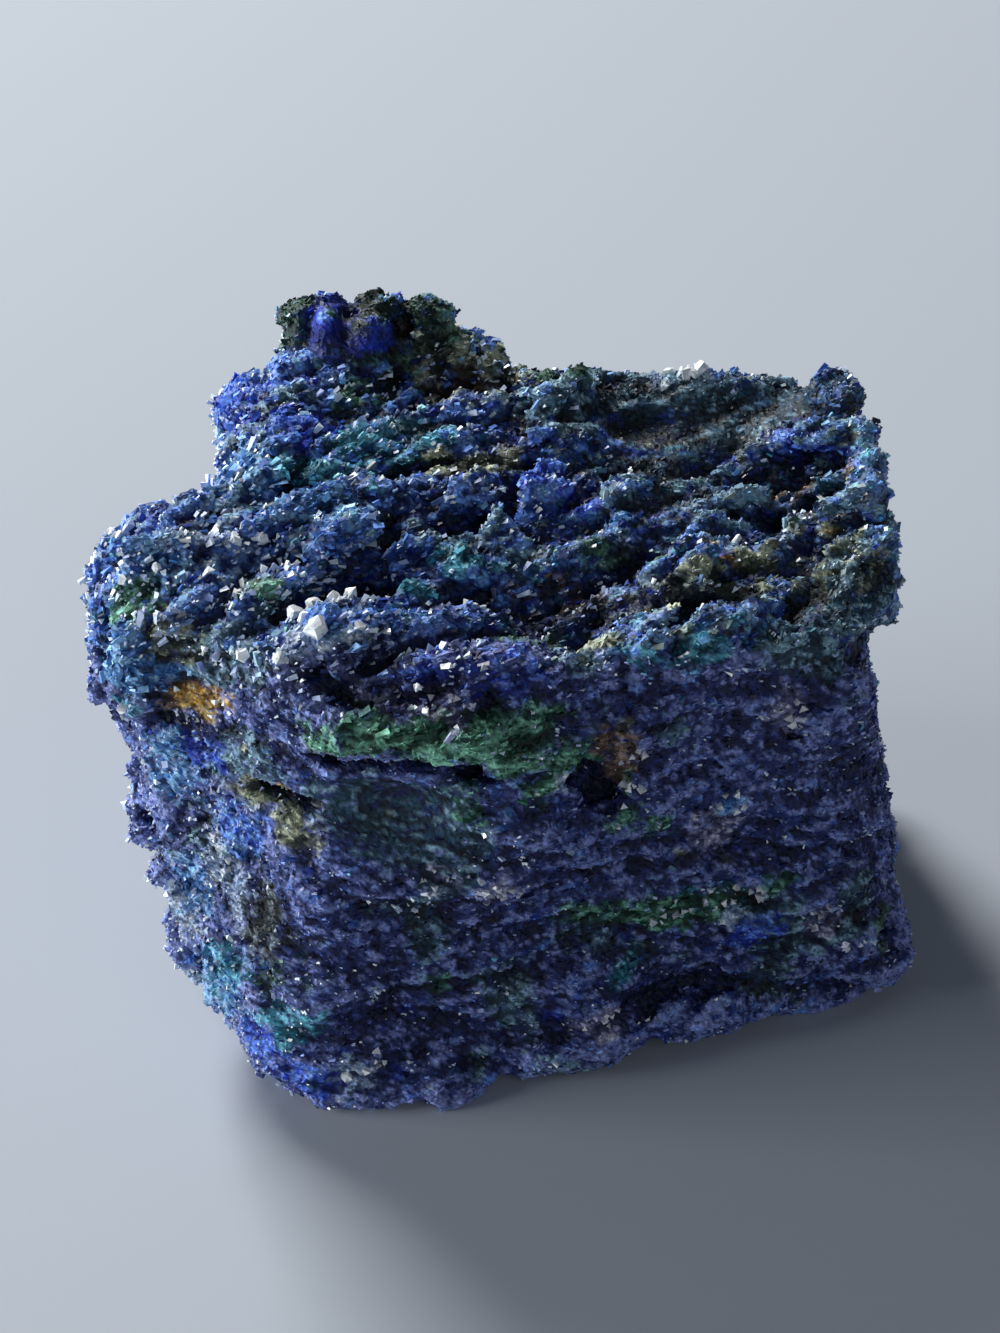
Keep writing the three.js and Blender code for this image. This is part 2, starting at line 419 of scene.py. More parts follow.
def broken_block(points, triangles):
    """The CAD solid with the rock's ledges, lumps, clefts and hollows."""
    distance, first = level_set(points, triangles, COARSE, *COARSE_REACH)
    distance = soften(distance, FACET_SOFTENING)
    band, p, normal = band_of(distance, first, COARSE, *COARSE_REACH)
    d = distance[band] - coarse_relief(p, normal)
    ragged = RAGGEDNESS * fractal(p, 2.6, 51) * (1 - smoothness(p))
    for planes in BREAKS:
        d = np.maximum(d, beyond(p, planes) + 1.2 * ragged)
    for lump in LUMPS:
        d = np.minimum(d, ellipsoid(p, *lump) + 0.8 * ragged)
    for hollow in HOLLOWS:
        d = np.maximum(d, -ellipsoid(p, *hollow) - ragged)
    carved = distance.copy()
    carved[band] = d
    return surface(one_piece(carved, distance, COARSE, *COARSE_REACH), first, COARSE)


def grainy_rock(points, triangles):
    """The broken block with its granules, cut off flat where it rests. Also how far each point stands out
    from what is close to it, and from what is less close."""
    distance, first = level_set(points, triangles, FINE, *FINE_REACH)
    band, p, normal = band_of(distance, first, FINE, *FINE_REACH)
    carved = distance.copy()
    carved[band] = distance[band] - fine_relief(p, normal)
    height = (np.arange(distance.shape[2]) + first[2]) * FINE
    carved = np.maximum(carved, -height[None, None].astype(np.float32))
    carved = one_piece(carved, distance, FINE, *FINE_REACH)
    points, faces = surface(carved, first, FINE)
    cell = np.round(points / FINE).astype(int) - first
    close = soften(carved, CLOSE_SOFTENING)[tuple(cell.T)]
    wide = soften(carved[::2, ::2, ::2], WIDE_SOFTENING)[tuple(cell.T // 2)]
    return points, faces, close, wide


def face_normals(points, faces):
    """Each face's normal and area."""
    a, b, c = (points[faces[:, n]] for n in range(3))
    n = np.cross(b - a, c - a)
    area = np.linalg.norm(n, axis=1)
    return n / (area[:, None] + 1e-9), area / 2


def point_normals(points, faces):
    """Each point's normal, from the faces round it."""
    n, area = face_normals(points, faces)
    total = np.zeros_like(points)
    for corner in range(3):
        for axis in range(3):
            total[:, axis] += np.bincount(faces[:, corner], n[:, axis] * area, len(points))
    return total / (np.linalg.norm(total, axis=1)[:, None] + 1e-9)


# ---------------- where each mineral lies

# For each mineral, its patches: the middle and the half lengths, in millimetres, and how strong it is there.
PATCHES = {
    "malachite": [
        ((-15.2, -23.4, 39.3), (2, 2.4, 1.1), 1.1),
        ((-11.4, -24.4, 40.2), (2.4, 2.4, 1.7), 1.3),
        ((-7.2, -24, 39.4), (2.6, 2.4, 1.9), 1.4),
        ((-3, -22.8, 38.8), (2.6, 2.4, 2.2), 1.4),
        ((0.6, -21.6, 38.6), (2.2, 2.4, 1.7), 1.3),
        ((-0.6, -22, 35.4), (2.4, 2.4, 1.7), 1.2),
        ((3.2, -20.8, 34), (2.2, 2.6, 1.8), 1.3),
        ((2, -21.5, 32.2), (1.7, 2.6, 1.5), 1.2),
        ((-4.5, -22.5, 31.2), (2, 2.4, 1.4), 0.8),
        ((8.2, -19.8, 29.8), (0.8, 2.2, 1.8), 1.2),
        ((8.3, -19.4, 26.7), (1.6, 2.4, 1), 1),
        ((11, -19.2, 24.7), (2.2, 2.4, 1.2), 0.9),
        ((5, -20.2, 17), (2.2, 2.4, 1.3), 1),
        ((8.8, -19, 15.8), (2.4, 2.4, 1.5), 1.3),
        ((12.4, -17.8, 15), (2.6, 2.4, 1.7), 1.3),
        ((16.4, -16.8, 15), (2.4, 2.4, 1.5), 1.3),
        ((21, -15.2, 15.8), (2.4, 2.4, 1), 1),
        ((-14.6, 9.8, 46.6), (1.8, 1.6, 2.2), 0.9),
        ((-19.6, -12.6, 45.6), (2, 1.4, 1.4), 1.3),
        ((-29.4, -13, 44), (2, 1.8, 1.5), 1.4),
    ],
    "moss": [
        ((2, 15, 46.4), (5, 3, 2.4), 0.9),
        ((-8, 2.6, 46.4), (3, 1.6, 2), 0.8),
        ((-19.6, 17.6, 50.6), (2.4, 2.8, 2.4), 1.3),
        ((-13.6, 17, 52), (3.6, 2.8, 1.2), 1.3),
        ((-7.8, 18, 49.6), (3, 2.6, 2.8), 1.3),
        ((-12, 13.6, 46.6), (4, 2, 2.4), 0.9),
        ((8, -5, 43), (4, 1.4, 2), 0.8),
        ((0, -14.6, 42.4), (4, 1.6, 2), 0.7),
        ((-19, -22, 14), (3, 2.4, 2.4), 0.7),
    ],
    "turquoise": [
        ((17, -18.4, 16.6), (5, 2.4, 1.6), 0.7),
        ((-12.6, 3.6, 46.2), (3.6, 2.2, 2), 1.35),
        ((-17, 0.4, 46.6), (3, 1.8, 2), 1.3),
        ((-8.4, 6.4, 46.6), (3.2, 1.6, 2), 1.3),
        ((-8.4, -11, 44.4), (2.4, 1.2, 1.6), 1.4),
        ((-4.6, -7.6, 44.6), (2.4, 1.2, 1.6), 1.4),
        ((9.6, -17.8, 42.6), (3, 1.6, 1.6), 0.55),
        ((13.6, -16.8, 43), (3.2, 1.6, 1.6), 0.55),
        ((4, -14.6, 43.6), (2.6, 1.2, 1.5), 0.8),
        ((-29.8, -17.6, 37.2), (2, 2, 1), 0.5),
        ((-24.4, -21.6, 12.6), (2.6, 2, 2.6), 0.8),
        ((-19.4, -24.6, 9.4), (3, 2, 2.4), 0.7),
        ((22.6, 3.2, 44), (4, 1.2, 1.6), 0.7),
    ],
    "sky": [
        ((-30, -16.6, 40.4), (3.8, 2.8, 1.6), 1.6),
        ((-28, -12.3, 46.8), (3.6, 3.4, 2.4), 0.8),
        ((-22.5, 0.4, 47.2), (4, 4, 2.6), 0.8),
        ((-15.6, -4.1, 46.6), (4, 3, 2.4), 0.9),
        ((-31, -17, 41.6), (3, 2.6, 2.4), 1.1),
        ((-28.4, -17.4, 30), (2.8, 2.6, 4), 0.9),
        ((-22.6, -19.6, 25.6), (3.2, 2.6, 2.6), 0.9),
        ((-25.6, -21.4, 10), (3, 2.4, 3.6), 0.9),
        ((-27.4, -18, 18.6), (2.6, 2.4, 3), 0.8),
        ((6.6, -1.4, 43.6), (2.4, 1.2, 1.6), 1),
        ((-22, 12.4, 45.2), (2.4, 2.4, 3), 0.8),
        ((-18, 16.4, 46), (2, 3, 2.4), 0.9),
    ],
    "azure": [
        ((-16.4, 16.8, 50.8), (1.9, 2.4, 1.7), 1.3),
        ((-12.6, 15.4, 49.6), (1.8, 1.8, 1.7), 1.2),
        ((-23.4, 9.8, 46.6), (3.4, 3.2, 2.4), 1.5),
        ((-18.7, 5, 47.4), (3.2, 2.2, 2), 1.4),
        ((-11.9, 3, 46.2), (2, 1.4, 1.6), 1),
        ((0.6, 1.7, 44.8), (2.8, 1.6, 1.6), 1),
        ((4.4, 0.2, 43.6), (2.4, 1.4, 1.6), 0.9),
        ((-27.6, -2, 44.6), (2.4, 3, 2.4), 0.9),
        ((-24.9, -18, 33), (1.7, 2.2, 1.6), 1.6),
        ((-22.4, -19.6, 26.2), (3, 2.6, 2.2), 1),
        ((23.6, 7.4, 43.8), (4.4, 1.5, 1.5), 0.9),
        ((-0.8, -19.8, 42.8), (4, 1.8, 1.6), 0.6),
        ((-7, -19.6, 43.6), (3.4, 1.6, 1.5), 0.6),
        ((-17.6, -25.6, 3.6), (2.6, 2, 1.8), 1),
        ((-22, -24.2, 6.4), (2, 2, 2), 0.9),
        ((19.9, -15.8, 11.2), (2.4, 2, 2.4), 0.9),
    ],
    "ochre": [
        ((-25.3, -17.8, 38.3), (2.3, 2.4, 1.5), 1.5),
        ((-23.4, -18.8, 39.4), (1, 1.5, 0.8), 1.1),
        ((25, -1.4, 42.8), (2.4, 0.4, 0.5), 0.6),
        ((15.4, -6.4, 43.2), (3, 0.6, 0.9), 0.7),
        ((-20, -21, 31.4), (1.2, 1.5, 0.7), 0.8),
    ],
    "rust": [
        ((6.9, -19.2, 35), (1.7, 2, 1.6), 1.1),
        ((7.6, -18.9, 31.6), (1.7, 2, 2.4), 1.1),
        ((23, 5, 42.4), (4.4, 1.8, 1.6), 0.9),
        ((24, 1, 42.6), (4, 1.4, 1.4), 0.8),
        ((-3.6, 13.6, 45.4), (4, 2, 2), 0.9),
        ((-27, -17.4, 37.6), (1.8, 1.6, 1.2), 0.9),
        ((3, -9, 42), (4, 1.6, 1.6), 0.7),
    ],
    "stone": [
        ((23.8, -1.4, 42.8), (4.4, 0.7, 0.7), 1.3),
        ((-6, 15.6, 48.4), (4.6, 2.6, 2.4), 1),
        ((-1, 15.6, 46.8), (4, 2.6, 2.4), 1),
        ((-1.2, 4, 46.2), (2.6, 1.6, 1.8), 1.35),
        ((5.8, -16, 42.8), (1.8, 1, 1.5), 0.9),
        ((10.5, -12.2, 43.2), (3.4, 1.1, 1.5), 1),
        ((15.4, -8.6, 43), (3.6, 1.3, 1.5), 1),
        ((20.3, -5.4, 42.6), (3.6, 1.4, 1.5), 1.1),
        ((25, -6.4, 42.4), (4, 2.6, 2.4), 0.9),
        ((-5.4, 2.6, 46.2), (3.2, 1.6, 1.8), 1.3),
        ((-10.6, 2, 46.4), (2.4, 1, 1.8), 0.7),
        ((-21, -20.6, 30.8), (3.2, 2.2, 1.2), 1),
        ((-18, -21.8, 28.8), (2.2, 2.2, 1.6), 0.9),
        ((-4.6, 13, 47.2), (5, 2.4, 2.4), 0.8),
        ((-26.6, -15.6, 43), (3, 2, 2), 0.8),
    ],
    "steel": [
        ((20, 0.6, 43.6), (7, 3, 2), 0.7),
        ((26, -9, 42), (4, 5, 3), 0.9),
        ((-22.6, -17.6, 42.6), (5, 3, 2.4), 0.8),
        ((3.1, 10.4, 46.2), (4, 3, 2.4), 1),
        ((10, 13.4, 45.6), (5, 3.4, 2.4), 1),
        ((16.4, 11.6, 44.4), (5, 3.6, 2.4), 1),
        ((22.6, 13.6, 44), (4, 3, 2.4), 1),
        ((11.6, 4.8, 44), (6, 2.4, 2.4), 0.8),
        ((-13.7, -21.8, 31.8), (3, 2.2, 2.4), 0.9),
        ((-9.8, -21.8, 28.8), (3.4, 2.4, 3), 0.9),
        ((-5.6, -21.6, 31.4), (2.8, 2.2, 1.8), 0.8),
        ((22, -14, 40.6), (4.4, 2.6, 2.4), 0.9),
        ((22.2, -15, 9.4), (2.8, 2, 2.8), 0.9),
    ],
    "grey": [
        ((9.8, 9.6, 45), (2.6, 1.8, 2), 1),
        ((-20.2, -21.8, 19), (2, 2.2, 3.6), 1.1),
        ((18, 9, 44.4), (5, 1.6, 2), 0.7),
        ((14, -9.8, 42.6), (6, 1.2, 1.6), 0.8),
        ((4.4, -10.6, 42.6), (5, 1.6, 1.6), 0.8),
    ],
    "pale": [
        ((17, -18.6, 17), (3.6, 2, 1), 0.5),
        ((-16.7, -18.7, 44.9), (2.2, 1.4, 1.2), 0.7),
        ((-13.2, -18.2, 44.4), (2.2, 1.1, 1.2), 0.6),
        ((-15.4, -13.8, 45.2), (2.4, 1.6, 1.6), 0.9),
        ((-24.6, -9, 45.8), (5.4, 3.6, 2.5), 0.36),
        ((-24.3, -18.6, 23.4), (0.9, 1.8, 2.8), 1),
        ((-23, -20.2, 19.4), (0.9, 1.8, 2.6), 0.9),
        ((-28, -17.4, 15.4), (2.2, 1.8, 2.4), 0.7),
        ((-14.2, -25.2, 3.8), (1.7, 1.6, 1.7), 1.1),
        ((12.8, 15.8, 45.2), (2.6, 1.6, 1.5), 1.1),
        ((17.6, -16.6, 13.2), (1.5, 1.6, 1.2), 1.1),
        ((3.6, -20.4, 32), (0.8, 1.5, 1.2), 0.8),
    ],
    "lilac": [
        ((-7, -22.8, 42.4), (1.3, 1.6, 1.2), 1),
        ((-5.1, -22.9, 40.9), (1.2, 1.6, 1.3), 1),
        ((-11.6, -22.8, 42.8), (1.5, 1.5, 1.2), 0.8),
        ((-2.4, -22.4, 21.8), (1.4, 1.4, 1.7), 0.9),
        ((-6.6, -23.2, 23.8), (1.6, 1.4, 1.3), 0.8),
        ((15.4, -15.9, 22.6), (2.4, 1.6, 2.2), 0.8),
        ((20.9, -15, 34.6), (1.6, 1.4, 2.2), 0.7),
        ((25, -14, 10.5), (2, 1.4, 1.8), 0.8),
        ((6.4, -20.4, 5), (2.2, 1.4, 1.2), 0.8),
    ],
}
MINERALS = ["azurite", "indigo"] + list(PATCHES)
# Colours in linear light: dark, middle and light of each mineral.
COLOURS = {
    "azurite": ((0.002, 0.004, 0.028), (0.009, 0.048, 0.290), (0.160, 0.350, 0.900)),
    "indigo": ((0.003, 0.005, 0.024), (0.021, 0.034, 0.160), (0.260, 0.310, 0.640)),
    "malachite": ((0.002, 0.010, 0.007), (0.014, 0.082, 0.046), (0.220, 0.520, 0.360)),
    "moss": ((0.002, 0.006, 0.005), (0.008, 0.040, 0.026), (0.130, 0.270, 0.190)),
    "turquoise": ((0.002, 0.020, 0.034), (0.012, 0.155, 0.240), (0.190, 0.600, 0.740)),
    "sky": ((0.004, 0.020, 0.080), (0.030, 0.170, 0.500), (0.340, 0.640, 0.940)),
    "azure": ((0.003, 0.008, 0.110), (0.010, 0.038, 0.440), (0.160, 0.320, 0.940)),
    "ochre": ((0.050, 0.024, 0.008), (0.600, 0.320, 0.050), (0.950, 0.700, 0.280)),
    "rust": ((0.010, 0.006, 0.005), (0.080, 0.044, 0.030), (0.360, 0.250, 0.180)),
    "stone": ((0.006, 0.009, 0.006), (0.075, 0.095, 0.060), (0.520, 0.560, 0.400)),
    "steel": ((0.003, 0.008, 0.012), (0.018, 0.060, 0.098), (0.280, 0.460, 0.560)),
    "grey": ((0.003, 0.005, 0.006), (0.018, 0.027, 0.032), (0.240, 0.300, 0.320)),
    "pale": ((0.040, 0.080, 0.190), (0.300, 0.420, 0.640), (0.800, 0.870, 0.930)),
    "lilac": ((0.022, 0.022, 0.090), (0.230, 0.235, 0.400), (0.760, 0.770, 0.880)),
}
# How each mineral turns up by itself anywhere on the rock: the size of a patch, the level that noise has to
# pass there, and its least share, which shows as odd chips.
STRAYS = {
    "malachite": (8.0, 0.55, 0.10),
    "moss": (7.0, 0.45, 0.20),
    "turquoise": (6.0, 0.48, 0.24),
    "sky": (6.0, 0.42, 0.20),
    "azure": (6.0, 0.42, 0.30),
    "ochre": (4.0, 0.90, 0.0),
    "rust": (5.0, 0.60, 0.0),
    "stone": (6.0, 0.45, 0.18),
    "steel": (9.0, 0.10, 0.26),
    "grey": (6.0, 0.50, 0.22),
    "pale": (3.5, 0.78, 0.0),
    "lilac": (3.0, 0.62, 0.16),
}
DULL = ("steel", "grey", "stone", "moss", "turquoise")  # the minerals that the top's right side is rich in
DULL_SHARE = 0.26
STRAY_SHARE = 0.8
PATCH_BEND = 1.3  # how far patches are bent out of shape, in millimetres
PATCH_REACH = 1.7  # where a patch ends, in its half lengths

RIM_FACING = (0.643, 0.766)  # which way the sloping plane of the top's rim faces, along Y and Z
RIM_HEIGHT = 26.8  # that plane's height at the origin
RIM_LEVEL = 0.9  # how far over the plane the weathered top begins
RIM_SWELL = 1.8  # how much further over it the top begins in the middle of the front


def weathered(p, ragged):
    """1 on the weathered top, and 0 below its rim."""
    rise = RIM_FACING[0] * p[:, 1] + RIM_FACING[1] * (p[:, 2] - RIM_HEIGHT)
    rim = RIM_LEVEL + RIM_SWELL * np.exp(-(((p[:, 0] + 5) / 6) ** 2))
    return smooth(rise - rim + 0.9 * ragged, -0.5, 0.7)


def mineral_shares(p):
    """How much of each mineral there is at each point: an array with a column for each of MINERALS."""
    ragged = fractal(p, 2.4, 61)
    above = weathered(p, ragged)
    right = smooth(p[:, 0] + 4 * ragged, -4, 10) * above
    shares = [0.25 + 0.25 * above - 0.2 * right, 0.5 - 0.25 * above]
    place = p + PATCH_BEND * np.stack([fractal(p, 2.0, seed, 2) for seed in (66, 67, 68)], 1)
    for n, (mineral, patches) in enumerate(PATCHES.items()):
        size, level, least = STRAYS[mineral]
        share = STRAY_SHARE * smooth(fractal(p, size, 70 + n, 2) + 0.2 * ragged, level, level + 0.5)
        share = np.maximum(share, least * (0.5 + 0.5 * above))
        if mineral in DULL:
            share = np.maximum(share, DULL_SHARE * right)
        for at, half, strength in patches:
            inside = PATCH_REACH - steps_from(place, at, half) + 0.35 * ragged
            share = np.maximum(share, strength * smooth(inside, 0.0, 1.2))
        shares.append(share)
    return np.stack(shares, 1)


# Where the rock is darker: the middle and half lengths of each place, and the share of light it leaves.
# Some are darker crust, and many are painted shade in vugs, clefts and recesses, and under ledges and
# overhangs.
STAINS_AND_SHADE = [
    # Painted shade in the vug on the top.
    ((-12.6, -10.6, 42.6), (3.8, 3.2, 3.2), 0.06),
    # Darker crust on the horn and its nodules, and on the knob at the back right.
    ((-14, 17, 50), (9, 4, 4), 0.25),
    ((-14.2, 15.2, 50.2), (4.2, 3.2, 3), 0.10),
    ((26, 12.4, 46), (3.6, 3.2, 3), 0.35),
    # Darker on parts of the top's right side.
    ((14, 9, 44.6), (8, 3.6, 2.4), 0.6),
    ((24, -9, 42), (8, 6, 4), 0.7),
    # Painted shade in a pit at the back of the top and in recesses on its right.
    ((-3.4, 13.6, 46), (5, 3, 3), 0.4),
    ((25, 2.6, 42.4), (5.4, 1.7, 1.8), 0.2),
    ((23, 6, 42.2), (5, 1.6, 1.8), 0.3),
    # Painted shadow under the overhang on the left.
    ((-27, -18, 35.6), (5, 3, 1), 0.35),
    # Painted shade in a hollow and in the clefts along the layers.
    ((9.8, 10.6, 45), (3.6, 2.4, 2), 0.45),
    ((4, -11.6, 42), (7, 2.4, 3), 0.25),
    ((13.4, -10.8, 41.8), (6, 1.3, 2.4), 0.35),
    ((6.4, -7.2, 42), (6, 1.5, 2.6), 0.35),
    ((-3.6, -3, 43.6), (4.6, 1.3, 2.2), 0.35),
    ((-9.6, 2, 44.2), (4, 1.1, 2), 0.4),
    # Darker down the right side and in a patch low on the front's left.
    ((29, -10, 24), (4, 6, 16), 0.6),
    ((-20, -21.4, 19), (2.6, 2.6, 4), 0.6),
    # Painted shade under the green ledge and in the front's slots and vug.
    ((-9, -21, 35.4), (7, 3, 1.2), 0.4),
    ((5.9, -20, 30.4), (2.4, 4, 3.2), 0.1),
    ((-4.4, -22, 34.2), (2.4, 3, 1), 0.2),
    ((1.4, -22, 37.2), (3, 2.4, 0.8), 0.15),
    # Darker on the left below the top's rim, and two black spots in the ochre patch.
    ((-27, -18, 40), (6, 4, 2.6), 0.65),
    ((-26, -18.8, 37.9), (0.6, 1.6, 0.45), 0.05),
    ((-24.6, -19.2, 38.6), (0.5, 1.6, 0.4), 0.05),
    # Painted shadow under the ochre patch.
    ((-25.4, -18.8, 36.1), (2.6, 2, 0.8), 0.15),
    # Darker below the rim on the front's upper left.
    ((-9, -21, 43.2), (9, 3, 2.4), 0.55),
]


def kept_after_stains_and_shade(p):
    """The share of its light that the rock keeps at each point, under darker crust and painted shade."""
    ragged = fractal(p, 1.6, 63, 2)
    kept = np.ones(len(p), np.float32)
    for at, half, share in STAINS_AND_SHADE:
        away = steps_from(p, at, half)
        kept = np.minimum(kept, share + (1 - share) * smooth(away + 0.4 * ragged, 0.5, 1.3))
    return kept


# A bright blue place without dust and painted light: its middle and half lengths.
CLEAN_PLACE = ((-30.0, -16.6, 40.0), (4.0, 3.4, 2.2))


def dust_and_painted_light(p):
    """How pale the rock is made, from 0 to 1, most on its left side: partly weathered dust, and partly
    painted light for the brighter light that falls on that side.
    """
    left = smooth(-p[:, 0] - 13 + 7 * noise(p, 8.0, 64), 0, 12)
    patchy = smooth(fractal(p, 4.5, 65), -0.35, 0.45)
    middle = smooth(p[:, 2], 38, 42) * smooth(14 - p[:, 0], 0, 14)
    pale = np.clip(left * (0.35 + 0.65 * patchy) + 0.4 * patchy * middle, 0, 1)
    return pale * smooth(steps_from(p, *CLEAN_PLACE), 0.8, 1.4)


COMMON_LIGHT = 0.27  # how light the rock is where nothing makes it lighter or darker, from 0 to 1
MIDDLE_LIGHT = 0.4  # the light at which a mineral has its middle colour
PURITY = 6  # how little the colours of two minerals mix


def mineral_colours(p, luck, close, wide, dither):
    """A colour and a mineral for each point. luck holds a column of random numbers for each mineral and one
    more, close and wide are how far the point stands out, and dither is how much neighbours differ.
    Painted shade and light: the colour is darker where a point lies deep, lighter where it stands out."""
    shares = mineral_shares(p) * np.exp(dither * luck[:, 1:])
    kind = shares.argmax(1)
    weights = (shares / shares.max(1)[:, None]) ** PURITY
    weights /= weights.sum(1)[:, None]
    # Painted light: the block's lower right half, where the front lies in shade, is made a little lighter.
    front = smooth(40 - p[:, 2], 0, 8) * smooth(p[:, 0], -12, 8)
    light = COMMON_LIGHT + 0.16 * fractal(p, 2.2, 91) + 0.075 * front
    # Painted shade and light: darker in hollows and clefts, lighter on what stands out.
    light += 1.45 * np.clip(close, -0.3, 0.3) + 0.3 * np.clip(wide, -1, 0.6)
    spread = 0.6 + 0.62 * roughness(p)
    # Paler with dust and painted light; darker under stains and painted shade.
    light = np.clip(light + 0.42 * dust_and_painted_light(p), 0.02, 1) * np.exp(spread * luck[:, 0]) * kept_after_stains_and_shade(p)
    light = np.clip(light, 0, 1)[:, None]
    dark, middle, pale = (weights @ np.array([COLOURS[m][n] for m in MINERALS]) for n in range(3))
    colours = dark + (middle - dark) * np.minimum(light / MIDDLE_LIGHT, 1)
    return colours + (pale - middle) * np.clip((light - MIDDLE_LIGHT) / (1 - MIDDLE_LIGHT), 0, 1), kind


# A painted highlight: the pale colour given to a crystal that glints.
PAINTED_GLINT = (0.52, 0.61, 0.88)  # the colour of a crystal that catches the light
BRIGHTEST = 0.92  # the most that such a colour can be


def glint_chance(p):
    """How likely a crystal is to get a painted glint, a pale colour for the light that its facets would
    catch: in clusters, and more where the rock has dust and painted light.
    """
    clusters = smooth(fractal(p, 2.6, 101, 2), 0.15, 0.6)
    horn = smooth(p[:, 2], 47.5, 49)
    return (0.026 + 0.42 * clusters + 0.46 * dust_and_painted_light(p)) * (1 - smoothness(p)) * (1 - 0.85 * horn)


# ---------------- meshes

def make_mesh(name, points, faces, colours, gloss):
    """A joined mesh, in metres, with a colour and a gloss for each of its points."""
    mesh = bpy.data.meshes.new(name)
    mesh.vertices.add(len(points))
    mesh.vertices.foreach_set("co", (points * MM).astype(np.float32).ravel())
    mesh.loops.add(faces.size)
    mesh.loops.foreach_set("vertex_index", faces.astype(np.int32).ravel())
    mesh.polygons.add(len(faces))
    mesh.polygons.foreach_set("loop_start", np.arange(0, faces.size, 3, dtype=np.int32))
    mesh.update(calc_edges=True)
    mesh.shade_flat()
    opaque = np.column_stack([colours, np.ones(len(points))])
    colour = mesh.attributes.new("mineral", "FLOAT_COLOR", "POINT")
    colour.data.foreach_set("color", opaque.astype(np.float32).ravel())
    shine = mesh.attributes.new("gloss", "FLOAT", "POINT")
    shine.data.foreach_set("value", gloss.astype(np.float32))
    piece = bpy.data.objects.new(name, mesh)
    bpy.context.scene.collection.objects.link(piece)
    return piece


def keep(piece, material):
    """Makes the piece a part of the specimen."""
    piece.data.materials.append(material)
    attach(piece, "root")
    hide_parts(NODE)


# ---------------- materials

AZURITE_IOR = 1.73
BUMP_HEIGHT = 0.0003  # in metres
# Each material's roughness, specular level, strength of bump, cells of fine noise in a metre, and mottling.
MATERIALS = {
    "azurite_rock": (0.5, 0.18, 0.3, 3200, 0.9),
    "azurite_crystal": (0.4, 0.25, 0.05, 2400, 0.5),
    "malachite_crystal": (0.5, 0.2, 0.1, 2400, 0.6),
    "pale_crystal": (0.3, 0.4, 0.05, 1800, 0.3),
}


def node(tree, kind, **settings):
    """A new shader node. Settings that begin with a capital are its inputs, and the others its properties."""
    made = tree.nodes.new(kind)
    for name, value in settings.items():
        if name[0].isupper():
            made.inputs[name.replace("_", " ")].default_value = value
        else:
            setattr(made, name, value)
    return made


def rock_material(name):
    """Mineral colours from the mesh, mottled and bumped by noise finer than the mesh."""
    roughness, specular, bump, grain, mottling = MATERIALS[name]
    material = bpy.data.materials.new(name)
    material.use_nodes = True
    tree = material.node_tree
    link = tree.links.new
    shader = tree.nodes["Principled BSDF"]
    shader.inputs["IOR"].default_value = AZURITE_IOR
    shader.inputs["Specular IOR Level"].default_value = specular
    place = node(tree, "ShaderNodeTexCoord")
    colour = node(tree, "ShaderNodeAttribute", attribute_name="mineral")
    gloss = node(tree, "ShaderNodeAttribute", attribute_name="gloss")
    mottle = node(tree, "ShaderNodeTexNoise", Scale=grain, Detail=3.0, Roughness=0.6)
    low, high = 1 - 0.65 * mottling, 1 + 0.85 * mottling
    lightness = node(tree, "ShaderNodeMapRange", From_Min=0.33, From_Max=0.68, To_Min=low, To_Max=high)
    tint = node(tree, "ShaderNodeVectorMath", operation="SCALE")
    link(place.outputs["Object"], mottle.inputs["Vector"])
    link(mottle.outputs["Fac"], lightness.inputs["Value"])
    link(colour.outputs["Color"], tint.inputs[0])
    link(lightness.outputs["Result"], tint.inputs["Scale"])
    link(tint.outputs["Vector"], shader.inputs["Base Color"])
    dull = node(tree, "ShaderNodeMapRange", To_Min=roughness + 0.25, To_Max=roughness - 0.15)
    link(gloss.outputs["Fac"], dull.inputs["Value"])
    link(dull.outputs["Result"], shader.inputs["Roughness"])
    pits = node(tree, "ShaderNodeTexNoise", Scale=grain * 1.4, Detail=3.0)
    raised = node(tree, "ShaderNodeBump", Strength=bump, Distance=BUMP_HEIGHT)
    link(place.outputs["Object"], pits.inputs["Vector"])
    link(pits.outputs["Fac"], raised.inputs["Height"])
    link(raised.outputs["Normal"], shader.inputs["Normal"])
    return material


# ---------------- the rock and its crystals

JITTER = 0.05  # how far points are moved at random, in millimetres
SIDES = ("left", "right", "front", "back", "foot", "top")
ROCK_DITHER, CRYSTAL_DITHER = 0.5, 0.55  # how much the shares of the minerals differ from point to point
GRANULE = (1.2, 0.55, 0.5)  # a granule's size along the strike, down the dip and across the layers
GRANULE_DRAWS = 4096


def granule_luck(p):
    """Random numbers that are the same all over one granule: a column for each of MINERALS, and one more."""
    luck = np.random.default_rng(95).normal(size=(GRANULE_DRAWS, len(MINERALS) + 1))
    granule = grains_of(p @ LAYERED.T, GRANULE, 95)[2]
    return luck[(granule * (GRANULE_DRAWS - 1)).astype(int)]


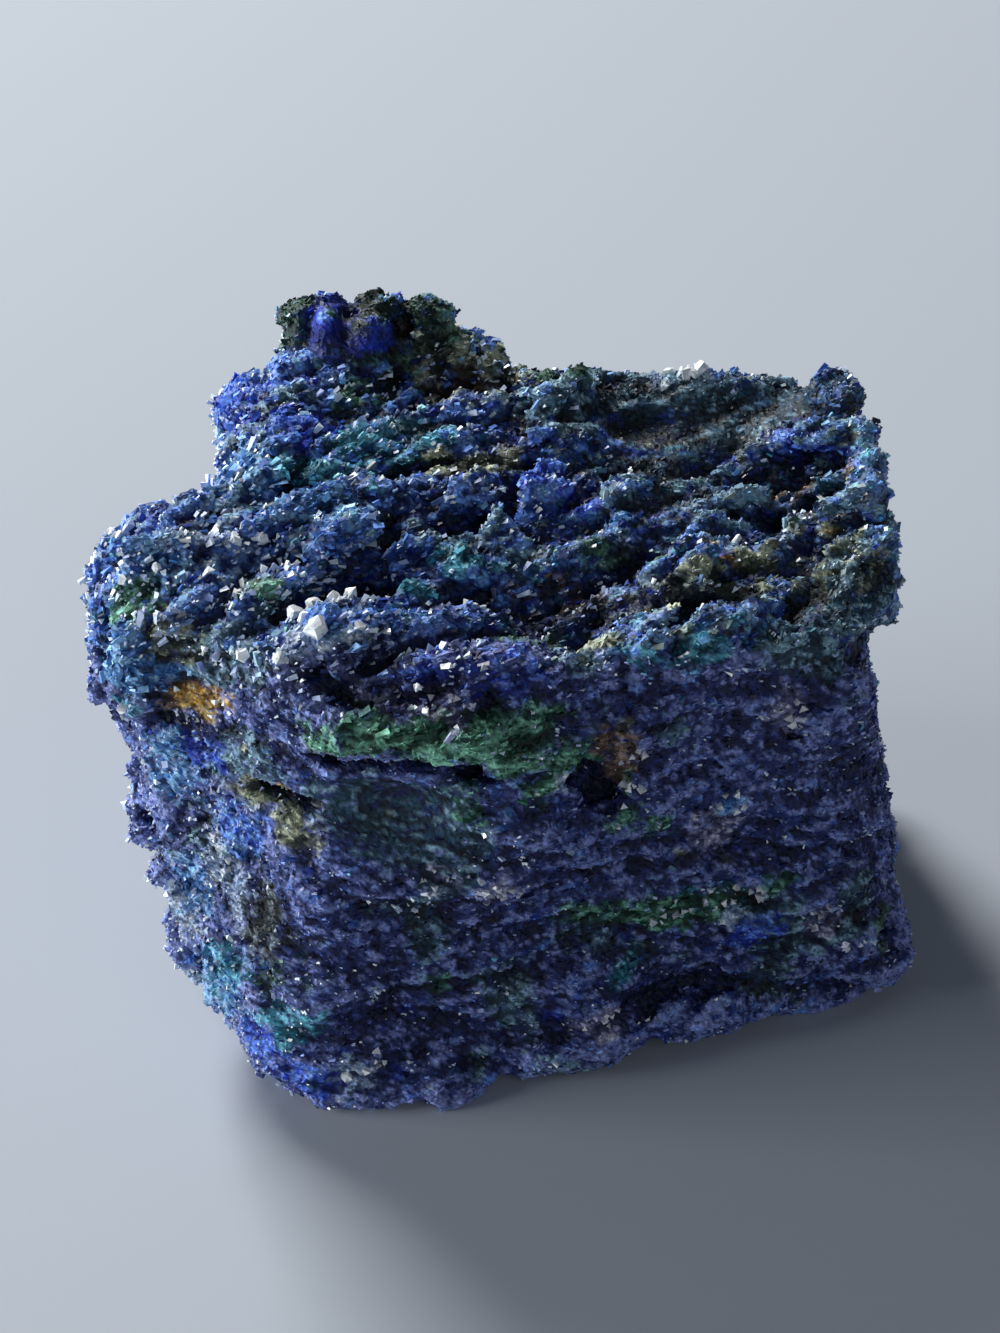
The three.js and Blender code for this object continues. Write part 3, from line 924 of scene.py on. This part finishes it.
def make_rock():
    """The rock's surface, in a mesh for each side of the block."""
    points, faces, close, wide = grainy_rock(*broken_block(*cad_surface(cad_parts[NODE])))
    rng = np.random.default_rng(5)
    shifted = points + rng.normal(scale=JITTER, size=points.shape)
    resting = points[:, 2] < FINE
    shifted[resting, 2] = points[resting, 2]
    points = np.maximum(shifted, [-np.inf, -np.inf, 0])
    colours, _ = mineral_colours(points, 0.6 * granule_luck(points), close, wide, ROCK_DITHER)
    # Painted shade: the rock is darker where its crust is granular, as shade between its crystals.
    colours *= 1 - 0.4 * roughness(points)[:, None]
    gloss = np.clip(0.5 + 0.25 * rng.normal(size=len(points)), 0, 1)
    material = rock_material("azurite_rock")
    low, high = points.min(0), points.max(0)
    away = 2 * (points[faces].mean(1) - (low + high) / 2) / (high - low)
    side = 2 * np.abs(away).argmax(1)
    side += np.take_along_axis(away, side[:, None] // 2, 1)[:, 0] > 0
    for n, name in enumerate(SIDES):
        used, part = np.unique(faces[side == n], return_inverse=True)
        piece = make_mesh(f"rock_{name}", points[used], part.reshape(-1, 3), colours[used], gloss[used])
        keep(piece, material)
    return points, faces, close, wide


LEAN = 0.3  # how far crystals lean from their axes
LOWEST = 0.02  # the least height of a crystal's corner, in millimetres
# A crystal's pattern: a three-sided prism along Z, with the corners of its lower end first.
TRIANGLE = (0, 1), (-0.9, -0.55), (0.9, -0.55)
WEDGE = np.array([[x, y, z] for z in (-0.9, 0.9) for x, y in TRIANGLE], np.float32)
WEDGE_FACES = np.array(
    [[0, 2, 1], [3, 4, 5], [0, 1, 4], [0, 4, 3], [1, 2, 5], [1, 5, 4], [2, 0, 3], [2, 3, 5]]
)


def crystals(pattern, pattern_faces, at, axis, half, rng):
    """Crystals of one pattern, one at each place, which point roughly along its axis and taper. half holds
    their half lengths."""
    count, corners = len(at), len(pattern)
    shape = np.repeat(pattern[None], count, 0)
    upper = shape[:, :, 2:] > 0
    taper = rng.uniform(0.25, 0.95, (count, 1, 2))
    shape[:, :, :2] *= np.where(upper, taper, 1)
    shape[:, :, :2] += np.where(upper, rng.uniform(-0.35, 0.35, (count, 1, 2)), 0)
    shape += rng.uniform(-0.15, 0.15, shape.shape)
    shape *= half[:, None]
    axis = axis + LEAN * rng.normal(size=(count, 3))
    axis /= np.linalg.norm(axis, axis=1)[:, None]
    side = np.cross(axis, rng.normal(size=(count, 3)))
    side /= np.linalg.norm(side, axis=1)[:, None]
    turn = np.stack([side, np.cross(axis, side), axis], 1)
    points = np.einsum("nvk,nkd->nvd", shape, turn) + at[:, None]
    faces = pattern_faces[None] + corners * np.arange(count)[:, None, None]
    return points.reshape(-1, 3), faces.reshape(-1, 3)


def add_crystals(name, material, shape, colours, gloss):
    """A joined mesh of crystals, which each have a colour and a gloss. shape is what crystals() gave."""
    points, faces = shape
    points[:, 2] = np.maximum(points[:, 2], LOWEST)
    corners = len(points) // len(colours)
    piece = make_mesh(name, points, faces, np.repeat(colours, corners, 0), np.repeat(gloss, corners))
    keep(piece, material)


def nearest_to(places, points):
    """For each place, which of the points is nearest to it."""
    return [((points - np.array(place)) ** 2).sum(1).argmin() for place in places]


# Larger pale crystals: roughly where each stands, and its half length across.
LARGE_CRYSTALS = [
    ((-15.3, -18.7, 46), 1.10),
    ((-16.2, -13.2, 45.6), 0.75),
    ((-14.8, -13, 45.4), 0.70),
    ((-13.4, -12.8, 45.2), 0.65),
    ((-18.2, -14.6, 46), 0.60),
    ((-10.6, -16, 44.8), 0.65),
    ((-17.6, -17, 46), 0.55),
    ((-12.4, -17.6, 45), 0.60),
    ((-22, -19.2, 44.6), 0.60),
    ((-18, -20.2, 44.8), 0.65),
    ((-20.4, -7.6, 46.4), 0.55),
    ((-22.4, -8.4, 46.6), 0.60),
    ((-28, -11.4, 46.4), 0.55),
    ((13.8, 15.6, 46), 0.80),
    ((15.2, 15.8, 46), 0.70),
    ((12.4, 15.8, 45.8), 0.60),
    ((14.6, 15, 46), 0.65),
    ((-14.2, -25.4, 3.6), 0.60),
]
ROUND_SIDES = 5


def round_pattern():
    """A short prism with worn ends, as corners and faces."""
    ring = np.arange(ROUND_SIDES)
    angle = 2 * math.pi * ring / ROUND_SIDES
    levels = [(0.6, -0.9), (1.0, -0.5), (1.0, 0.5), (0.6, 0.9)]
    x, y = np.cos(angle), np.sin(angle)
    corners = [np.column_stack([r * x, r * y, np.full(ROUND_SIDES, z)]) for r, z in levels]
    corners = np.concatenate([*corners, [[0, 0, -0.9], [0, 0, 0.9]]])
    after = (ring + 1) % ROUND_SIDES
    top, foot = ROUND_SIDES * (len(levels) - 1), len(corners) - 2
    faces = [np.column_stack([after, ring, np.full(ROUND_SIDES, foot)])]
    faces.append(np.column_stack([top + ring, top + after, np.full(ROUND_SIDES, foot + 1)]))
    for level in range(len(levels) - 1):
        low, high = level * ROUND_SIDES, (level + 1) * ROUND_SIDES
        faces.append(np.column_stack([low + ring, low + after, high + after]))
        faces.append(np.column_stack([low + ring, high + after, high + ring]))
    return corners, np.concatenate(faces)


LARGE_SHADE = (0.74, 0.79, 0.81)
# The flecks' colour, a painted glint.
FLECK_GLINT = (0.78, 0.82, 0.90)
PALE_GLOSS = 0.6


def make_large_crystals(points, normals, material):
    """The larger pale crystals, each on the point of the rock that is nearest to its place."""
    rng = np.random.default_rng(29)
    nearest = nearest_to([place for place, _ in LARGE_CRYSTALS], points)
    half = np.array([half for _, half in LARGE_CRYSTALS])[:, None] * rng.uniform(0.8, 1.1, (len(nearest), 3))
    shape = crystals(*round_pattern(), points[nearest], normals[nearest], half, rng)
    shades = np.array(LARGE_SHADE) * rng.uniform(0.75, 1.2, (len(nearest), 1))
    gloss = np.full(len(nearest), PALE_GLOSS)
    add_crystals("large_pale_crystals", material, shape, shades, gloss)


# Places of small clusters of bright flecks: pale crystals with a painted glint, on steep sides in shade.
FLECKS = [
    (16.1, -19.2, 15.4),
    (20, -18, 16.1),
    (13.3, -19.9, 14.9),
    (18.2, -18, 15.6),
    (0, -23.6, 22.1),
    (-2.4, -24.2, 23.1),
    (-6.6, -23.2, 23.8),
    (-4.7, -22.5, 42.5),
    (-7, -22.8, 42.4),
    (16.6, -18.5, 26),
    (28.8, -15.5, 8),
    (25, -14, 10.5),
    (6.4, -20.4, 5),
    (-25.4, -18.4, 24.6),
    (-24.6, -19.2, 21.8),
    (-12.6, -25.2, 4.6),
    (9, -19.4, 29.4),
    (8.6, -19.4, 33),
    (20.9, -15, 34.6),
]
FLECKS_EACH = 6
FLECK_SPREAD = 0.8  # how far a cluster spreads, in millimetres


def make_flecks(points, normals, material):
    """Small clusters of pale crystals on the steep sides, made bright with a painted glint."""
    rng = np.random.default_rng(31)
    places = np.repeat(np.array(FLECKS), FLECKS_EACH, 0)
    places += rng.normal(0, FLECK_SPREAD, places.shape)
    nearest = nearest_to(places, points)
    half = rng.uniform(0.18, 0.4, (len(nearest), 1)) * rng.uniform(0.7, 1.3, (len(nearest), 3))
    shape = crystals(WEDGE, WEDGE_FACES, points[nearest], normals[nearest], half, rng)
    shades = np.minimum(np.array(FLECK_GLINT) * rng.uniform(0.5, 1.2, (len(nearest), 1)), BRIGHTEST)
    add_crystals("pale_flecks", material, shape, shades, np.full(len(nearest), PALE_GLOSS))


CRYSTAL_COUNT = 57_000
MOST_TRIANGLES = 190_000
FOOT = 0.7  # no crystals grow on faces that reach lower than this, in millimetres
PALE_MINERALS = ("pale", "lilac")
GREEN_MINERALS = ("malachite", "moss", "turquoise")
# The size of crystals: the mean and spread of its logarithm, and the least and most that it can be.
SIZE_MEAN, SIZE_SPREAD = -2.12, 0.42
SIZE_LIMITS = -3.0, -1.0
PALE_SIZE, GLINT_SIZE, GREEN_SIZE = 1.25, 1.15, 1.3  # how many times as large these crystals are
GREEN_TOP = 41  # green crystals are larger only up to this height


def bearing_faces(rng, points, faces, close):
    """Which faces bear a crystal: fewer where the rock is smooth or hollow, and none at its foot."""
    odds = face_normals(points, faces)[1] * (1 - 0.9 * smoothness(points[faces[:, 0]]))
    odds = odds * (points[faces][:, :, 2].min(1) > FOOT)
    odds = odds * (0.35 + np.clip(close[faces].mean(1) + 0.4, 0, 1))
    return faces[rng.random(len(faces)) < odds * CRYSTAL_COUNT / odds.sum()]


def crystal_colours(rng, at, rough, close, wide):
    """Each crystal's colour, and whether it has a painted glint, is pale (as all with a painted glint are)
    or is green.
    """
    count = len(at)
    alike = np.clip(rough, 0.3, 0.8)[:, None]
    luck = alike * granule_luck(at) + (1.1 - alike) * rng.normal(size=(count, len(MINERALS) + 1))
    colours, kind = mineral_colours(at, luck, close, wide, CRYSTAL_DITHER)
    # Painted highlights: crystals that glint take a pale colour for the light their facets would catch.
    glint = rng.random(count) < glint_chance(at)
    painted_glint_colour = np.array(PAINTED_GLINT) * rng.uniform(0.6, 1.8, (count, 1))
    colours = np.where(glint[:, None], np.minimum(painted_glint_colour, BRIGHTEST), colours)
    pale, green = (
        np.isin(kind, [MINERALS.index(name) for name in names]) for names in (PALE_MINERALS, GREEN_MINERALS)
    )
    pale |= glint
    return colours, glint, pale, green & ~pale


def crystal_sizes(rng, at, rough, glint, pale, green):
    """Each crystal's size, in millimetres."""
    size = np.exp(np.clip(rng.normal(SIZE_MEAN, SIZE_SPREAD, len(at)), *SIZE_LIMITS))
    size *= np.where(pale & ~glint, PALE_SIZE, 1)
    low_green = green & (at[:, 2] < GREEN_TOP)
    return size * ((0.48 + 0.5 * rough) * np.where(glint, GLINT_SIZE, np.where(low_green, GREEN_SIZE, 1)))


def crystal_axes(normal, pale):
    """Which way each crystal points: along the layers, and out of the rock too if it's pale."""
    along = np.array(STRIKE) - (normal @ np.array(STRIKE))[:, None] * normal
    return np.where(pale[:, None], normal + along, along + 0.1 * normal)


def make_crystals(points, faces, close, wide):
    """Crystals all over the rock, in joined meshes by the mineral that they are made of."""
    rng = np.random.default_rng(17)
    normals = point_normals(points, faces)
    bearing = bearing_faces(rng, points, faces, close)
    at, normal, close, wide = (values[bearing].mean(1) for values in (points, normals, close, wide))
    normal /= np.linalg.norm(normal, axis=1)[:, None]
    count, rough = len(at), roughness(at)
    colours, glint, pale, green = crystal_colours(rng, at, rough, close, wide)
    size = crystal_sizes(rng, at, rough, glint, pale, green)
    shape = [rng.uniform(0.7, 1.1, count), rng.uniform(0.6, 1.0, count), rng.uniform(1.1, 1.9, count)]
    half = size[:, None] * np.stack(shape, 1)
    gloss = np.clip(0.55 + 0.3 * rng.normal(size=count), 0, 1)
    at = at - normal * (size * rng.uniform(0.3, 0.9, count))[:, None]
    axis = crystal_axes(normal, pale)
    # The pale crystals' meshes hold the crystals with painted glints too.
    groups = {"azurite": ~pale & ~green, "malachite": green, "pale": pale}
    materials = {name: rock_material(f"{name}_crystal") for name in groups}
    make_large_crystals(points, normals, materials["pale"])
    make_flecks(points, normals, materials["pale"])
    for name, member in groups.items():
        index = np.flatnonzero(member)
        parts = math.ceil(len(index) * len(WEDGE_FACES) / MOST_TRIANGLES)
        for part, some in enumerate(np.array_split(index, parts)):
            shape = crystals(WEDGE, WEDGE_FACES, at[some], axis[some], half[some], rng)
            piece = f"{name}_crystals_{part + 1}"
            add_crystals(piece, materials[name], shape, colours[some], gloss[some])


# ---------------- camera, light and floor

# Lengths here are in metres, and the lens and its sensor in millimetres.
AIM = Vector((-1.8, 0.0, 26.8)) * MM
PITCH = math.radians(40)
DISTANCE = 0.240
LENS = 77
SENSOR = 36
# Each light's place, its two sides, its power in watts and its colour.
LIGHTS = {
    "window": ((-0.64, 0.90, 0.90), (0.48, 0.43), 30.0, (1.0, 0.99, 0.97)),
    "side": ((-1.0, -0.12, 0.20), (0.5, 0.4), 12.5, (0.95, 0.98, 1.0)),
    "fill": ((0.5, -0.9, 0.7), (0.8, 0.8), 1.9, (0.85, 0.92, 1.0)),
}
SKY, SKY_STRENGTH = (0.72, 0.82, 1.0, 1), 0.085
PAPER, PAPER_ROUGHNESS = (0.36, 0.395, 0.445, 1), 0.85
PAPER_HALF = 3.0


def make_camera():
    """The photo's view: from the front, and from above by PITCH."""
    data = bpy.data.cameras.new("camera")
    data.lens = LENS
    data.sensor_width = SENSOR
    data.clip_start = 0.01
    camera = bpy.data.objects.new("camera", data)
    camera.location = AIM + DISTANCE * Vector((0, -math.cos(PITCH), math.sin(PITCH)))
    camera.rotation_euler = (math.pi / 2 - PITCH, 0, 0)
    bpy.context.scene.collection.objects.link(camera)
    bpy.context.scene.camera = camera


def make_light(name, at, size, power, colour):
    """A lamp with a flat face, which is turned to the specimen."""
    data = bpy.data.lights.new(name, "AREA")
    data.shape = "RECTANGLE"
    data.size, data.size_y = size
    data.energy = power
    data.color = colour
    light = bpy.data.objects.new(name, data)
    light.location = Vector(at)
    light.rotation_euler = (AIM - light.location).to_track_quat("-Z", "Y").to_euler()
    bpy.context.scene.collection.objects.link(light)


def make_floor():
    """The paper that the specimen lies on."""
    mesh = bpy.data.meshes.new("floor")
    corners = [(PAPER_HALF * x, PAPER_HALF * y, 0) for x, y in ((-1, -1), (1, -1), (1, 1), (-1, 1))]
    mesh.from_pydata(corners, [], [(0, 1, 2, 3)])
    floor = bpy.data.objects.new("floor", mesh)
    material = bpy.data.materials.new("floor")
    material.use_nodes = True
    shader = material.node_tree.nodes["Principled BSDF"]
    shader.inputs["Base Color"].default_value = PAPER
    shader.inputs["Roughness"].default_value = PAPER_ROUGHNESS
    mesh.materials.append(material)
    bpy.context.scene.collection.objects.link(floor)


def make_studio():
    """The floor, the lights and the soft light from all round."""
    make_floor()
    for name, light in LIGHTS.items():
        make_light(name, *light)
    world = bpy.data.worlds.new("studio")
    world.use_nodes = True
    background = world.node_tree.nodes["Background"]
    background.inputs["Color"].default_value = SKY
    background.inputs["Strength"].default_value = SKY_STRENGTH
    bpy.context.scene.world = world
    bpy.context.scene.view_settings.view_transform = "Standard"


make_camera()
make_studio()
make_crystals(*make_rock())
